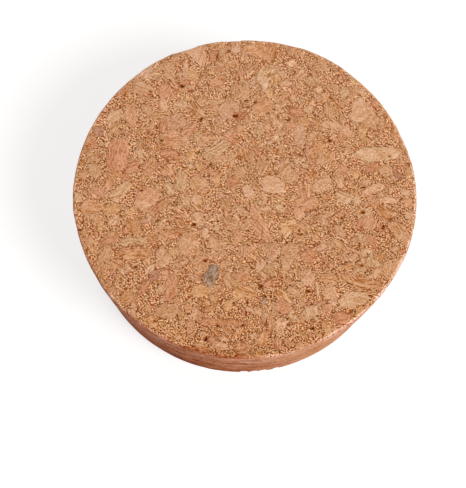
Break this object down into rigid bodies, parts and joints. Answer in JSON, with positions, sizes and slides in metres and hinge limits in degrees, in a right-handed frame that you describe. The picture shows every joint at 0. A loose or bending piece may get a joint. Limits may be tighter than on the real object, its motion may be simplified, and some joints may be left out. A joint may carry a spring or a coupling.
{
  "type": "cork stopper",
  "caption": "Tapered disc-shaped stopper of pressed cork granules, with a wide flat top, a sanded sloping wall and a narrow flat base.",
  "frame": {"origin": "centre of the narrow bottom face, on the surface that the stopper stands on", "axes": "+Z along the plug's axis, from the narrow face to the wide face; the plug is round, so X and Y are free: -Y is the side towards the viewer"},
  "size_m": [0.08, 0.08, 0.025],
  "materials": {
    "cork": "matte sawn and sanded cork, unsealed"
  },
  "bodies": {
    "root": {"stopper": "cork"}
  },
  "joints": []
}
